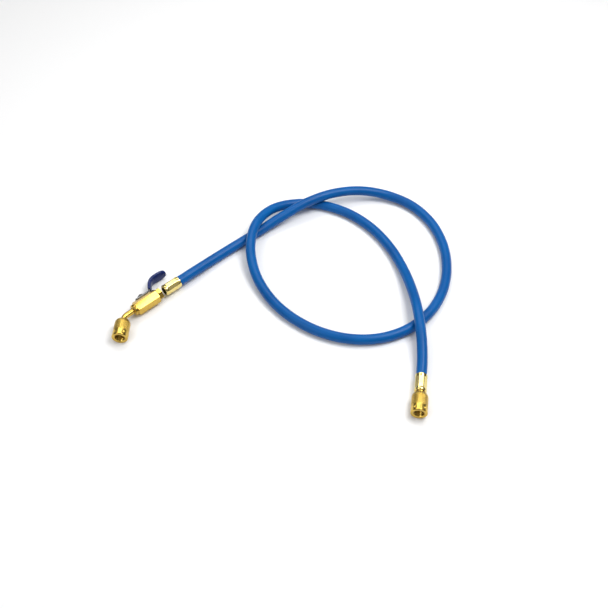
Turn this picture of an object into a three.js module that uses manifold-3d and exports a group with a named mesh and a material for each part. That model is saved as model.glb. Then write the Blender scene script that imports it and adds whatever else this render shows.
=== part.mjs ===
// A refrigerant charging hose: blue rubber hose with a brass swivel nut on each end,
// and a small ball valve with a dipped lever behind one of them. Millimetres, +Z up.
// It lies on the floor in one loose loop that crosses itself three times.

import * as THREE from 'three';
import { mergeVertices } from 'three/addons/utils/BufferGeometryUtils.js';
import Module from 'manifold-3d';

const wasm = await Module();
wasm.setup();

// Hose
const CUT_LENGTH = 1219.3; // 48 inches of hose, from the bottom of one ferrule to the other
const HOSE_RADIUS = 5.5;
const HOSE_SIDES = 12;
const HOSE_STEPS = 80;
const HOSE_INSERT = 15; // length of hose held inside each ferrule

// Clearances between pieces that rest on or in each other
const GAP = 0.3;
const TURNING_GAP = 0.35; // round a shaft that turns

// How far joined solids run into each other, and how far a cutter runs past a face
const OVERLAP = 0.5;
const THROUGH = 1;

// Ferrules, the crimped sleeves on the hose ends
const FERRULE_LENGTH = 20;
const FERRULE_WALL = 0.5;
const FERRULE_LIP = 1.4;
const NECK_RADIUS = 4.2; // what the ferrule's lip closes round

// The tube that both swivel nuts turn on, and its bore
const TUBE_RADIUS = 3.175;
const TUBE_BORE = 2.2;

// Swivel nuts, with a socket for a quarter-inch flare thread
const NUT_RADIUS = 8.5;
const NUT_LENGTH = 23.5;
const NUT_BACK_WALL = 7;
const NUT_BACK_RADIUS = 5;
const NUT_SHOULDER = 5.5;
const NUT_SOCKET = 5.2;
const NUT_LEAD_IN = 0.8;
const NUT_EDGE = 0.9;
const DIMPLE_COUNT = 6;
const DIMPLE_RADIUS = 1.3;
const DIMPLE_DEPTH = 0.8;
const DIMPLE_FROM_MOUTH = 3.8;

// Seat inside each nut: collar, nipple, gasket and core depressor
const COLLAR_RADIUS = 4.8;
const COLLAR_LENGTH = 2.5;
const NIPPLE_RADIUS = 2.8;
const NIPPLE_LENGTH = 1.8;
const GASKET_LENGTH = 2.3;
const DEPRESSOR_PIN = 0.75;
const DEPRESSOR_VANE = 0.8;
const DEPRESSOR_INSERT = 4;
const DEPRESSOR_REACH = 3; // how far the pin stands past the nipple

// Valve body, a hexagon bar with the ball in its middle
const BODY_FLATS = 14;
const BODY_LENGTH = 28.8;
const BODY_CHAMFER = 2.3;
const BODY_FROM_FERRULE = 8.9;
const BODY_NOSE_RADIUS = 6.3;
const BODY_NOSE_LENGTH = 3.3;
const BODY_NOSE_ROUND = 1.6; // how much its outer edge is turned away
const BALL_RADIUS = 4.4;
const BALL_BORE = 2;
const CAVITY_GAP = 0.4;
const SEAT_REACH = 6.2; // seat ring's back face, from the ball's centre
const TUBE_SOCKET_DEPTH = 7.5;
const STEM_ROLL = THREE.MathUtils.degToRad(94); // stem is turned this far from upright

// Flange on the coupler's stem, between its ferrule and its nut
const COUPLER_FLANGE_RADIUS = 5.4;
const COUPLER_FLANGE_LENGTH = 1.2;

// Hose adapter between ferrule and valve body
const ADAPTER_COLLAR = 5.3;
const ADAPTER_RING_LENGTH = 2;
const ADAPTER_HEX_FLATS = 11.6;
const ADAPTER_HEX_LENGTH = 4.2;

// Stem, lever and its nut
const STEM_RADIUS = 2.1;
const BOSS_RADIUS = 3.6;
const BOSS_HEIGHT = 0.7;
const TANG_WIDTH = 1.2;
const TANG_DEPTH = 1.6;
const STEM_SQUARE = 3;
const STEM_THREAD = 1.4;
const STEM_PROUD = 0.4; // thread left standing past the nut
const LEVER_THICKNESS = 1.5;
const LEVER_TAIL = 8;
const LEVER_CORNER = 2; // rounding of the tail's corners
const LEVER_TIP_FULLNESS = 0.75; // 1 for a squarer tip, less for a sharper one
const LEVER_REACH = 39.5; // from the stem to the tip
const LEVER_RISE = 13.5;
const LEVER_DROOP = 1; // how far the tip bends back in
const LEVER_FOOT = 10.2; // where the neck leaves the base, from the stem
const LEVER_HEAD = 20; // where it reaches the paddle's height
const LEVER_FOOT_BEND = 2.5;
const LEVER_HEAD_BEND = 6;
const LEVER_WIDEST = 31; // where the paddle is widest
const LEVER_BASE_HALF = 4;
const LEVER_NECK_HALF = 3;
const LEVER_PADDLE_HALF = 4.8;
const GRIP_COAT = 1.2;
const GRIP_START = 12; // where the dipped coat begins, from the stem
const LEVER_NUT_FLATS = 6.4;
const LEVER_NUT_HEIGHT = 2.2;

// Elbow tube
const ELBOW_ANGLE = Math.PI / 4;
const ELBOW_RADIUS = 9.5;
const ELBOW_CORNER = 14.8; // from the end of the hexagon to the bend's corner
const ELBOW_LEAD_OUT = 1.2; // straight tube between the bend and the nut
const ELBOW_STEPS = 16;

const ROUND = 32;
const FINE = 24;
const COARSE = 16;

// Centreline of the hose, from the bottom of the valve's ferrule to the bottom of the
// coupler's. Both ends lie at the height of a nut that rests on the floor. The points were
// drawn for a hose of this length, and a longer or shorter one spreads them over the floor.
const DRAWN_LENGTH = 1219.3;
const spread = CUT_LENGTH / DRAWN_LENGTH;
const route = [
  [-110.5, 67.1, NUT_RADIUS], [-99.4, 77.4, NUT_RADIUS], [-87.5, 88.4, NUT_RADIUS],
  [-68.9, 107.0, 6.9], [-44.5, 129.5, 6.1], [-17.8, 152.5, 6.1], [11.1, 173.7, 11.2],
  [41.8, 192.6, 17], [73.9, 208.1, 17], [107.0, 216.5, 12.9], [138.8, 213.9, 7.8],
  [166.2, 198.4, 6], [186.0, 171.9, 5.6], [196.5, 138.7, 5.6], [197.8, 102.9, 5.6],
  [190.3, 68.4, 5.6], [173.8, 38.0, 5.6], [149.3, 15.0, 5.6], [118.6, 2.2, 5.6], [85.1, 1.2, 5.6],
  [52.4, 11.4, 5.6], [23.4, 30.9, 5.6], [0.1, 57.4, 6.4], [-15.9, 89.2, 9.6],
  [-22.1, 123.7, 14.9], [-16.9, 157.1, 17.5], [0.6, 184.1, 14], [27.7, 199.0, 8.6],
  [59.6, 199.2, 6], [90.5, 185.6, 5.6], [116.3, 162.1, 5.6], [135.2, 132.5, 5.9],
  [147.6, 99.2, 7.6], [154.7, 63.9, 12.4], [158.0, 28.2, 17.3], [159.2, -4.8, 15.2],
  [158.0, -31.1, 10.6], [155.9, -47.1, NUT_RADIUS], [153.8, -62.1, NUT_RADIUS],
].map(([x, y, z]) => new THREE.Vector3(x * spread, y * spread, z));

// Materials
const brass = new THREE.MeshStandardMaterial({ color: 0xd9b445, metalness: 1, roughness: 0.25 });
const paleBrass = new THREE.MeshStandardMaterial({ color: 0xe6d48a, metalness: 1, roughness: 0.22 });
const blueRubber = new THREE.MeshStandardMaterial({ color: 0x1266bb, metalness: 0, roughness: 0.4 });
const navyVinyl = new THREE.MeshStandardMaterial({ color: 0x15206b, metalness: 0, roughness: 0.3 });
const steel = new THREE.MeshStandardMaterial({ color: 0x8c9096, metalness: 1, roughness: 0.35 });
const whitePlastic = new THREE.MeshStandardMaterial({ color: 0xf0efe8, metalness: 0, roughness: 0.5 });
const blackRubber = new THREE.MeshStandardMaterial({ color: 0x18181a, metalness: 0, roughness: 0.6 });

// Solids and booleans
function solid(geometry) {
  const bare = geometry.clone();
  bare.deleteAttribute('normal');
  bare.deleteAttribute('uv');
  const merged = mergeVertices(bare, 1e-5);
  return new wasm.Manifold(new wasm.Mesh({
    numProp: 3,
    vertProperties: new Float32Array(merged.attributes.position.array),
    triVerts: new Uint32Array(merged.index.array),
  }));
}

function geometryOf(manifold) {
  const mesh = manifold.getMesh();
  const geometry = new THREE.BufferGeometry();
  geometry.setAttribute('position', new THREE.BufferAttribute(mesh.vertProperties, 3));
  geometry.setIndex(new THREE.BufferAttribute(mesh.triVerts, 1));
  return geometry;
}

function part(name, shape, material) {
  const geometry = shape.isBufferGeometry ? shape : geometryOf(shape);
  const mesh = new THREE.Mesh(geometry, material);
  mesh.name = name;
  return mesh;
}

// A ring or sleeve turned about Y: its section is walked out along the outside and back inside
function ring(outside, inside, segments = ROUND) {
  const section = [...outside, ...[...inside].reverse(), outside[0]];
  return new THREE.LatheGeometry(section.map(([r, y]) => new THREE.Vector2(r, y)), segments);
}

// A solid turned about Y, closed on its axis
function turned(outside, segments = ROUND) {
  const first = outside[0];
  const last = outside[outside.length - 1];
  const section = [[0, first[1]], ...outside, [0, last[1]]];
  return new THREE.LatheGeometry(section.map(([r, y]) => new THREE.Vector2(r, y)), segments);
}

function rod(radius, from, to, segments = FINE) {
  return turned([[radius, from], [radius, to]], segments);
}

// A rod along Z instead of Y
function uprightRod(radius, from, to, segments = FINE) {
  return rod(radius, from, to, segments).rotateX(Math.PI / 2);
}

function block(width, depth, from, to) {
  return new THREE.BoxGeometry(width, depth, to - from).translate(0, 0, (from + to) / 2);
}

// A hexagon bar along Y with one flat facing +Z
function hexBar(flats, from, to) {
  const corner = flats / Math.sqrt(3);
  return turned([[corner, from], [corner, to]], 6).rotateY(Math.PI / 6);
}

// A round bar that follows a path
function barAlong(path, radius, sides, steps) {
  const section = [];
  for (let i = 0; i < sides; i++) {
    const angle = (i / sides) * 2 * Math.PI;
    section.push(new THREE.Vector2(radius * Math.cos(angle), radius * Math.sin(angle)));
  }
  return new THREE.ExtrudeGeometry(new THREE.Shape(section), { steps, extrudePath: path });
}

function hose() {
  return barAlong(new THREE.CatmullRomCurve3(route), HOSE_RADIUS, HOSE_SIDES, HOSE_STEPS);
}

// Ferrule: y = 0 at its mouth, the lip at the other end closes behind the adapter's shoulder
function ferrule() {
  const bore = HOSE_RADIUS + GAP;
  const outer = bore + FERRULE_WALL;
  const lipBore = NECK_RADIUS + GAP;
  const lipStart = FERRULE_LENGTH - FERRULE_LIP;
  return ring(
    [[outer, 0], [outer, lipStart], [outer - FERRULE_LIP / 2, FERRULE_LENGTH]],
    [[bore, 0], [bore, lipStart], [lipBore, lipStart], [lipBore, FERRULE_LENGTH]],
  );
}

// Section of the shoulder that a ferrule holds, up to the neck in its lip
function heldShoulder() {
  const shoulder = HOSE_RADIUS;
  const start = HOSE_INSERT + GAP;
  const end = FERRULE_LENGTH - FERRULE_LIP - GAP;
  return [[shoulder, start], [shoulder, end], [NECK_RADIUS, end], [NECK_RADIUS, FERRULE_LENGTH + GAP]];
}

// Where the pieces at the nut stand, measured from the nut's back face
const collarStart = NUT_BACK_WALL + GAP;
const collarEnd = collarStart + COLLAR_LENGTH;
const nippleEnd = collarEnd + NIPPLE_LENGTH;

// Collar and nipple that close the tube inside the nut, from the given start
function seatOutside(nutBack) {
  return [
    [TUBE_RADIUS, nutBack + collarStart], [COLLAR_RADIUS, nutBack + collarStart],
    [COLLAR_RADIUS, nutBack + collarEnd], [NIPPLE_RADIUS, nutBack + collarEnd],
    [NIPPLE_RADIUS, nutBack + nippleEnd],
  ];
}

function swivelNut() {
  const hole = TUBE_RADIUS + TURNING_GAP;
  const shoulder = [];
  const steps = 4;
  for (let i = 0; i <= steps; i++) {
    const angle = (i / steps) * (Math.PI / 2);
    const r = NUT_BACK_RADIUS + (NUT_RADIUS - NUT_BACK_RADIUS) * Math.sin(angle);
    shoulder.push([r, NUT_SHOULDER * (1 - Math.cos(angle))]);
  }
  let nut = solid(ring(
    [...shoulder, [NUT_RADIUS, NUT_LENGTH - NUT_EDGE], [NUT_RADIUS - NUT_EDGE, NUT_LENGTH]],
    [[hole, 0], [hole, NUT_BACK_WALL], [NUT_SOCKET, NUT_BACK_WALL],
      [NUT_SOCKET, NUT_LENGTH - NUT_LEAD_IN], [NUT_SOCKET + NUT_LEAD_IN, NUT_LENGTH]],
  ));
  for (let i = 0; i < DIMPLE_COUNT; i++) {
    const drill = uprightRod(DIMPLE_RADIUS, NUT_RADIUS - DIMPLE_DEPTH, NUT_RADIUS + THROUGH, COARSE);
    drill.translate(0, NUT_LENGTH - DIMPLE_FROM_MOUTH, 0);
    drill.rotateY(((i + 0.5) / DIMPLE_COUNT) * 2 * Math.PI);
    nut = nut.subtract(solid(drill));
  }
  return nut;
}

// Flat washer round the nipple, which the flare seals on
function gasket() {
  const start = collarEnd + GAP;
  const inner = NIPPLE_RADIUS + GAP;
  return ring(
    [[COLLAR_RADIUS, start], [COLLAR_RADIUS, start + GASKET_LENGTH]],
    [[inner, start], [inner, start + GASKET_LENGTH]], FINE,
  );
}

// Core depressor: a pin on four vanes that sit in the tube's bore
function depressor() {
  const halfVane = Math.sqrt((TUBE_BORE - GAP) ** 2 - (DEPRESSOR_VANE / 2) ** 2);
  const start = nippleEnd - DEPRESSOR_INSERT;
  const body = new THREE.BoxGeometry(2 * halfVane, DEPRESSOR_INSERT - GAP, DEPRESSOR_VANE);
  body.translate(0, start + (DEPRESSOR_INSERT - GAP) / 2, 0);
  const pin = rod(DEPRESSOR_PIN, start, nippleEnd + DEPRESSOR_REACH, COARSE);
  return solid(body).add(solid(body.clone().rotateY(Math.PI / 2))).add(solid(pin));
}

// The nut with what sits inside it; the group's origin is the nut's back face, +Y its mouth
function nutSet(prefix) {
  const group = new THREE.Group();
  group.add(
    part(`${prefix}_nut`, swivelNut(), brass),
    part(`${prefix}_gasket`, gasket(), blackRubber),
    part(`${prefix}_depressor`, depressor(), brass),
  );
  return group;
}

// Coupler end: ferrule and the straight stem that carries the nut
const couplerNutBack = FERRULE_LENGTH + GAP + COUPLER_FLANGE_LENGTH + GAP;

function couplerStem() {
  const flangeStart = FERRULE_LENGTH + GAP;
  const flangeEnd = flangeStart + COUPLER_FLANGE_LENGTH;
  const start = HOSE_INSERT + GAP;
  return ring(
    [...heldShoulder(), [COUPLER_FLANGE_RADIUS, flangeStart], [COUPLER_FLANGE_RADIUS, flangeEnd],
      [TUBE_RADIUS, flangeEnd], ...seatOutside(couplerNutBack)],
    [[TUBE_BORE, start], [TUBE_BORE, couplerNutBack + nippleEnd]], FINE,
  );
}

function couplerEnd() {
  const group = new THREE.Group();
  const nut = nutSet('coupler');
  nut.position.y = couplerNutBack;
  group.add(part('coupler_ferrule', ferrule(), paleBrass), part('coupler_stem', couplerStem(), brass), nut);
  return group;
}

// Valve body and what is in it, measured from the ball's centre
const halfBody = BODY_LENGTH / 2;
const cavity = BALL_RADIUS + CAVITY_GAP;
const seatSpan = SEAT_REACH + GAP;
const boss = BODY_FLATS / 2 + BOSS_HEIGHT;
const noseEnd = halfBody + BODY_NOSE_LENGTH;
const tubeStart = noseEnd - TUBE_SOCKET_DEPTH + GAP;
const bodyStart = FERRULE_LENGTH + BODY_FROM_FERRULE;
const ballFromMouth = bodyStart + halfBody;

function valveBody() {
  const corner = BODY_FLATS / Math.sqrt(3) + GAP;
  const face = corner - BODY_CHAMFER;
  const chamferEnd = halfBody - BODY_CHAMFER * Math.tan(Math.PI / 6);
  const chamfers = turned([
    [face, -halfBody], [corner, -chamferEnd], [corner, chamferEnd], [face, halfBody],
  ]);
  const nose = turned([
    [BODY_NOSE_RADIUS, 0], [BODY_NOSE_RADIUS, noseEnd - BODY_NOSE_ROUND],
    [BODY_NOSE_RADIUS - BODY_NOSE_ROUND, noseEnd],
  ]);
  return solid(hexBar(BODY_FLATS, -halfBody, halfBody))
    .intersect(solid(chamfers))
    .add(solid(nose))
    .add(solid(uprightRod(BOSS_RADIUS, 0, boss)))
    .subtract(solid(rod(cavity, -halfBody - THROUGH, seatSpan)))
    .subtract(solid(rod(TUBE_BORE, 0, noseEnd)))
    .subtract(solid(rod(TUBE_RADIUS + GAP, noseEnd - TUBE_SOCKET_DEPTH, noseEnd + THROUGH)))
    .subtract(solid(uprightRod(STEM_RADIUS + TURNING_GAP, 0, boss + THROUGH)));
}

// Seat ring on one side of the ball, hollowed to the ball's curve, with its front clear of
// the stem
function seatRing(side) {
  const outer = cavity - GAP;
  const front = STEM_RADIUS + GAP;
  const widest = Math.sqrt(cavity ** 2 - front ** 2);
  const steps = 3;
  const inner = [];
  for (let i = 0; i <= steps; i++) {
    const r = widest + (TUBE_BORE - widest) * (i / steps);
    inner.push([r, Math.sqrt(cavity ** 2 - r ** 2)]);
  }
  inner.push([TUBE_BORE, SEAT_REACH]);
  const geometry = ring([[outer, front], [outer, SEAT_REACH]], inner, FINE);
  if (side < 0) geometry.rotateX(Math.PI);
  return geometry;
}

function ball() {
  const slot = TANG_WIDTH + 2 * GAP;
  const floor = BALL_RADIUS - TANG_DEPTH - GAP;
  return solid(new THREE.SphereGeometry(BALL_RADIUS, FINE, COARSE))
    .subtract(solid(rod(BALL_BORE, -BALL_RADIUS - THROUGH, BALL_RADIUS + THROUGH, COARSE)))
    .subtract(solid(block(2 * (BALL_RADIUS + THROUGH), slot, floor, BALL_RADIUS + THROUGH)));
}

// Lever heights above the ball's centre
const leverBottom = boss + GAP;
const leverMiddle = leverBottom + LEVER_THICKNESS / 2;
const leverTop = leverBottom + LEVER_THICKNESS;
const leverNutStart = leverTop + GAP;
const leverNutEnd = leverNutStart + LEVER_NUT_HEIGHT;

function stem() {
  const tangStart = BALL_RADIUS - TANG_DEPTH;
  const shaftStart = BALL_RADIUS + GAP;
  const tangLength = 2 * Math.sqrt(STEM_RADIUS ** 2 - (TANG_WIDTH / 2) ** 2);
  return solid(uprightRod(STEM_RADIUS, shaftStart, boss))
    .add(solid(block(tangLength, TANG_WIDTH, tangStart, shaftStart + OVERLAP)))
    .add(solid(block(STEM_SQUARE, STEM_SQUARE, boss - OVERLAP, leverTop)))
    .add(solid(uprightRod(STEM_THREAD, leverTop - OVERLAP, leverNutEnd + STEM_PROUD, COARSE)));
}

// Side view of the lever: along -Y from the stem, rising to the paddle
function leverLine() {
  const foot = new THREE.Vector2(LEVER_FOOT, 0);
  const head = new THREE.Vector2(LEVER_HEAD, LEVER_RISE);
  const neck = head.clone().sub(foot).normalize();
  const footEnd = foot.clone().addScaledVector(neck, LEVER_FOOT_BEND);
  const headStart = head.clone().addScaledVector(neck, -LEVER_HEAD_BEND);
  const flat = LEVER_HEAD + LEVER_HEAD_BEND;
  const end = LEVER_REACH + GRIP_COAT + GAP + THROUGH;
  const line = new THREE.Path();
  line.moveTo(-LEVER_TAIL, 0);
  line.lineTo(LEVER_FOOT - LEVER_FOOT_BEND, 0);
  line.quadraticCurveTo(foot.x, foot.y, footEnd.x, footEnd.y);
  line.lineTo(headStart.x, headStart.y);
  line.quadraticCurveTo(head.x, head.y, flat, LEVER_RISE);
  line.quadraticCurveTo((flat + end) / 2, LEVER_RISE, end, LEVER_RISE - LEVER_DROOP);
  return line;
}

// A strip of the given thickness that follows the lever's side view, wider than the lever
function bentStrip(thickness) {
  const width = 4 * LEVER_PADDLE_HALF;
  const line = leverLine();
  const points = [];
  for (const curve of line.curves) {
    const count = curve.isLineCurve ? 1 : 6;
    for (let i = points.length ? 1 : 0; i <= count; i++) {
      const at = curve.getPoint(i / count);
      const along = curve.getTangent(i / count);
      points.push({ at, side: new THREE.Vector2(-along.y, along.x).multiplyScalar(thickness / 2) });
    }
  }
  const upper = points.map(({ at, side }) => at.clone().add(side));
  const lower = points.map(({ at, side }) => at.clone().sub(side)).reverse();
  const strip = new THREE.ExtrudeGeometry(new THREE.Shape([...upper, ...lower]), {
    depth: width, bevelEnabled: false, steps: 1,
  });
  // shape's x becomes -Y, its y becomes Z, its depth becomes X
  const place = new THREE.Matrix4().makeBasis(
    new THREE.Vector3(0, -1, 0), new THREE.Vector3(0, 0, 1), new THREE.Vector3(-1, 0, 0),
  );
  return strip.applyMatrix4(place).translate(width / 2, 0, leverMiddle);
}

// Plan of the lever, widened by the given margin
function leverPlan(margin) {
  const base = LEVER_BASE_HALF + margin;
  const neck = LEVER_NECK_HALF + margin;
  const paddle = LEVER_PADDLE_HALF + margin;
  const tip = LEVER_REACH + margin;
  const neckStart = LEVER_FOOT + LEVER_FOOT_BEND / 2;
  const swell = (neckStart + LEVER_WIDEST) / 2;
  const right = new THREE.Path();
  right.moveTo(-LEVER_TAIL, base - LEVER_CORNER);
  right.quadraticCurveTo(-LEVER_TAIL, base, LEVER_CORNER - LEVER_TAIL, base);
  right.lineTo(LEVER_FOOT - LEVER_FOOT_BEND, base);
  right.lineTo(neckStart, neck);
  right.bezierCurveTo(swell, neck, swell, paddle, LEVER_WIDEST, paddle);
  right.bezierCurveTo((LEVER_WIDEST + tip) / 2, paddle, tip, LEVER_TIP_FULLNESS * paddle, tip, 0);
  const half = right.getPoints(8);
  const other = half.slice(0, -1).reverse().map((p) => new THREE.Vector2(p.x, -p.y));
  const plan = new THREE.ExtrudeGeometry(new THREE.Shape([...half, ...other]), {
    depth: leverTop + 2 * LEVER_RISE, bevelEnabled: false, steps: 1,
  });
  // the plan's x becomes -Y and its y becomes X
  const place = new THREE.Matrix4().makeBasis(
    new THREE.Vector3(0, -1, 0), new THREE.Vector3(1, 0, 0), new THREE.Vector3(0, 0, 1),
  );
  return plan.applyMatrix4(place);
}

function leverPlate() {
  const hole = STEM_SQUARE + 2 * GAP;
  return solid(bentStrip(LEVER_THICKNESS))
    .intersect(solid(leverPlan(0)))
    .subtract(solid(block(hole, hole, leverBottom - THROUGH, leverTop + THROUGH)));
}

function leverGrip() {
  const outer = solid(bentStrip(LEVER_THICKNESS + 2 * (GAP + GRIP_COAT)))
    .intersect(solid(leverPlan(GRIP_COAT + GAP)))
    .trimByPlane([0, -1, 0], GRIP_START);
  const hollow = solid(bentStrip(LEVER_THICKNESS + 2 * GAP)).intersect(solid(leverPlan(GAP)));
  return outer.subtract(hollow);
}

function leverNut() {
  const nut = hexBar(LEVER_NUT_FLATS, leverNutStart, leverNutEnd).rotateX(Math.PI / 2);
  const hole = uprightRod(STEM_THREAD + GAP, leverNutStart - THROUGH, leverNutEnd + THROUGH, COARSE);
  return solid(nut).subtract(solid(hole));
}

// Valve head: origin at the ball's centre, +Y towards the nut, +Z along the stem
function valveHead() {
  const group = new THREE.Group();
  group.add(
    part('valve_body', valveBody(), brass),
    part('ball_seat_hose_side', seatRing(-1), whitePlastic),
    part('ball_seat_nut_side', seatRing(1), whitePlastic),
    part('valve_ball', ball(), steel),
    part('valve_stem', stem(), steel),
    part('lever_plate', leverPlate(), steel),
    part('lever_grip', leverGrip(), navyVinyl),
    part('lever_nut', leverNut(), steel),
  );
  return group;
}

// Adapter from the hose to the valve: held shoulder, ring, hexagon, and a plug in the body
function hoseAdapter() {
  const start = HOSE_INSERT + GAP;
  const plug = cavity - GAP;
  const plugEnd = ballFromMouth - seatSpan;
  const hexEnd = bodyStart - GAP;
  const hexStart = hexEnd - ADAPTER_HEX_LENGTH;
  const ringStart = FERRULE_LENGTH + 2 * GAP;
  const ringEnd = ringStart + ADAPTER_RING_LENGTH;
  const shaft = turned([
    [HOSE_RADIUS, start], ...heldShoulder().slice(1, 3), [NECK_RADIUS, ringStart],
    [ADAPTER_COLLAR, ringStart], [ADAPTER_COLLAR, ringEnd], [NECK_RADIUS, ringEnd],
    [NECK_RADIUS, hexEnd], [plug, hexEnd], [plug, plugEnd],
  ]);
  return solid(shaft)
    .add(solid(hexBar(ADAPTER_HEX_FLATS, hexStart, hexEnd)))
    .subtract(solid(rod(TUBE_BORE, start - THROUGH, plugEnd + THROUGH)));
}

// Elbow tube, in the valve's frame: straight, bend to the left, straight to the nut
const cornerFromMouth = bodyStart + BODY_LENGTH + ELBOW_CORNER;
const bendReach = ELBOW_RADIUS * Math.tan(ELBOW_ANGLE / 2);
const nutFromCorner = bendReach + ELBOW_LEAD_OUT;

class CircularBend extends THREE.Curve {
  getPoint(t, target = new THREE.Vector3()) {
    const angle = t * ELBOW_ANGLE;
    const left = ELBOW_RADIUS * (1 - Math.cos(angle));
    return target.set(-left, ELBOW_RADIUS * Math.sin(angle) - bendReach, 0);
  }
}

// Path with its origin at the bend's corner, longer at both ends by the overrun
function elbowPath(overrun, seatReach) {
  const inward = new THREE.Vector3(0, ballFromMouth + tubeStart - cornerFromMouth - overrun, 0);
  const bendStart = new THREE.Vector3(0, -bendReach, 0);
  const out = new THREE.Vector3(-Math.sin(ELBOW_ANGLE), Math.cos(ELBOW_ANGLE), 0);
  const bendEnd = out.clone().multiplyScalar(bendReach);
  const end = out.clone().multiplyScalar(nutFromCorner + seatReach + overrun);
  const path = new THREE.CurvePath();
  path.add(new THREE.LineCurve3(inward, bendStart));
  path.add(new CircularBend());
  path.add(new THREE.LineCurve3(bendEnd, end));
  return path;
}

function elbowTube() {
  const seat = turned([...seatOutside(0)], FINE);
  seat.rotateZ(ELBOW_ANGLE);
  const nutBack = new THREE.Vector3(-Math.sin(ELBOW_ANGLE), Math.cos(ELBOW_ANGLE), 0);
  nutBack.multiplyScalar(nutFromCorner);
  seat.translate(nutBack.x, nutBack.y, 0);
  return solid(barAlong(elbowPath(0, collarEnd), TUBE_RADIUS, FINE, ELBOW_STEPS))
    .add(solid(seat))
    .subtract(solid(barAlong(elbowPath(THROUGH, nippleEnd), TUBE_BORE, FINE, ELBOW_STEPS)));
}

// Valve end: origin at its ferrule's mouth, +Y away from the hose
function valveEnd() {
  const group = new THREE.Group();
  const head = valveHead();
  head.position.y = ballFromMouth;
  head.rotation.y = STEM_ROLL;
  const elbow = new THREE.Group();
  elbow.position.y = cornerFromMouth;
  const nut = nutSet('valve');
  nut.rotation.z = ELBOW_ANGLE;
  nut.position.set(-Math.sin(ELBOW_ANGLE), Math.cos(ELBOW_ANGLE), 0).multiplyScalar(nutFromCorner);
  elbow.add(part('elbow_tube', elbowTube(), brass), nut);
  group.add(
    part('valve_ferrule', ferrule(), paleBrass),
    part('hose_adapter', hoseAdapter(), brass),
    head,
    elbow,
  );
  return group;
}

// Put a fitting's mouth at one point of the route, with +Y on towards the hose's end point
function placeOnHose(fitting, mouth, hoseEnd) {
  fitting.position.copy(mouth);
  fitting.rotation.z = Math.atan2(hoseEnd.y - mouth.y, hoseEnd.x - mouth.x) - Math.PI / 2;
  return fitting;
}

const chargingHose = new THREE.Group();
chargingHose.add(
  part('hose', hose(), blueRubber),
  placeOnHose(valveEnd(), route[1], route[0]),
  placeOnHose(couplerEnd(), route[route.length - 2], route[route.length - 1]),
);

export default chargingHose;
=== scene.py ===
# %% [markdown]
# # A refrigerant charging hose
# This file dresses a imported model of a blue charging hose: a rubber hose with a brass swivel
# nut on each end, and a small ball valve with a dipped lever behind one of them. The packed
# model already has every piece at its real size and place, so the work here is the surface:
# knurling, crimps, threads, soft edges and finishes. Each step says what the real piece is,
# how it could be made, and why this way was chosen.

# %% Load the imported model
import math

import bmesh
import bpy
from mathutils import Matrix, Vector


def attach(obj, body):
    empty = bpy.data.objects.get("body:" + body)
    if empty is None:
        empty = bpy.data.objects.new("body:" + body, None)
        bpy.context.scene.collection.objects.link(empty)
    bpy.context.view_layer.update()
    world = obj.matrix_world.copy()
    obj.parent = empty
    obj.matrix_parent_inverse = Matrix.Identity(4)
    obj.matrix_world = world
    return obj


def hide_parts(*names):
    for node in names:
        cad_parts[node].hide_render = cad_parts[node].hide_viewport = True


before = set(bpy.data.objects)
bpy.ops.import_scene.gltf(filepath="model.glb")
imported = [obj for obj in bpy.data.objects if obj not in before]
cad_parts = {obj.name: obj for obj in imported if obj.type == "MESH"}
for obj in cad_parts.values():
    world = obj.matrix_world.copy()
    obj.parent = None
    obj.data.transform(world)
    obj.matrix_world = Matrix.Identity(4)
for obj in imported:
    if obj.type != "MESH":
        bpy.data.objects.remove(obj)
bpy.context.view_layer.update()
MM = 0.001
print("nodes:", sorted(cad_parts))

# %% [markdown]
# ## Where things are
# The hose lies along a list of points, chosen so that it follows the loop in the
# photograph. Both fittings hang on that line: the second point is the mouth of the valve's
# ferrule, and the last but one is the mouth of the coupler's. A matrix for each fitting, with
# its local Y running outwards along the flow, lets every piece be modelled upright at its own
# origin and then put in place once, in its mesh.

# %% The hose's route, in metres
AXIS_HEIGHT = 0.0085
ROUTE = [
    (-0.1105, 0.0671, AXIS_HEIGHT), (-0.0994, 0.0774, AXIS_HEIGHT),
    (-0.0875, 0.0884, AXIS_HEIGHT), (-0.0689, 0.1070, 0.0069), (-0.0445, 0.1295, 0.0061),
    (-0.0178, 0.1525, 0.0061), (0.0111, 0.1737, 0.0112), (0.0418, 0.1926, 0.0170),
    (0.0739, 0.2081, 0.0170), (0.1070, 0.2165, 0.0129), (0.1388, 0.2139, 0.0078),
    (0.1662, 0.1984, 0.0060), (0.1860, 0.1719, 0.0056), (0.1965, 0.1387, 0.0056),
    (0.1978, 0.1029, 0.0056), (0.1903, 0.0684, 0.0056), (0.1738, 0.0380, 0.0056),
    (0.1493, 0.0150, 0.0056), (0.1186, 0.0022, 0.0056), (0.0851, 0.0012, 0.0056),
    (0.0524, 0.0114, 0.0056), (0.0234, 0.0309, 0.0056), (0.0001, 0.0574, 0.0064),
    (-0.0159, 0.0892, 0.0096), (-0.0221, 0.1237, 0.0149), (-0.0169, 0.1571, 0.0175),
    (0.0006, 0.1841, 0.0140), (0.0277, 0.1990, 0.0086), (0.0596, 0.1992, 0.0060),
    (0.0905, 0.1856, 0.0056), (0.1163, 0.1621, 0.0056), (0.1352, 0.1325, 0.0059),
    (0.1476, 0.0992, 0.0076), (0.1547, 0.0639, 0.0124), (0.1580, 0.0282, 0.0173),
    (0.1592, -0.0048, 0.0152), (0.1580, -0.0311, 0.0106), (0.1559, -0.0471, AXIS_HEIGHT),
    (0.1538, -0.0621, AXIS_HEIGHT),
]
ROUTE = [Vector(p) for p in ROUTE]


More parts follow.
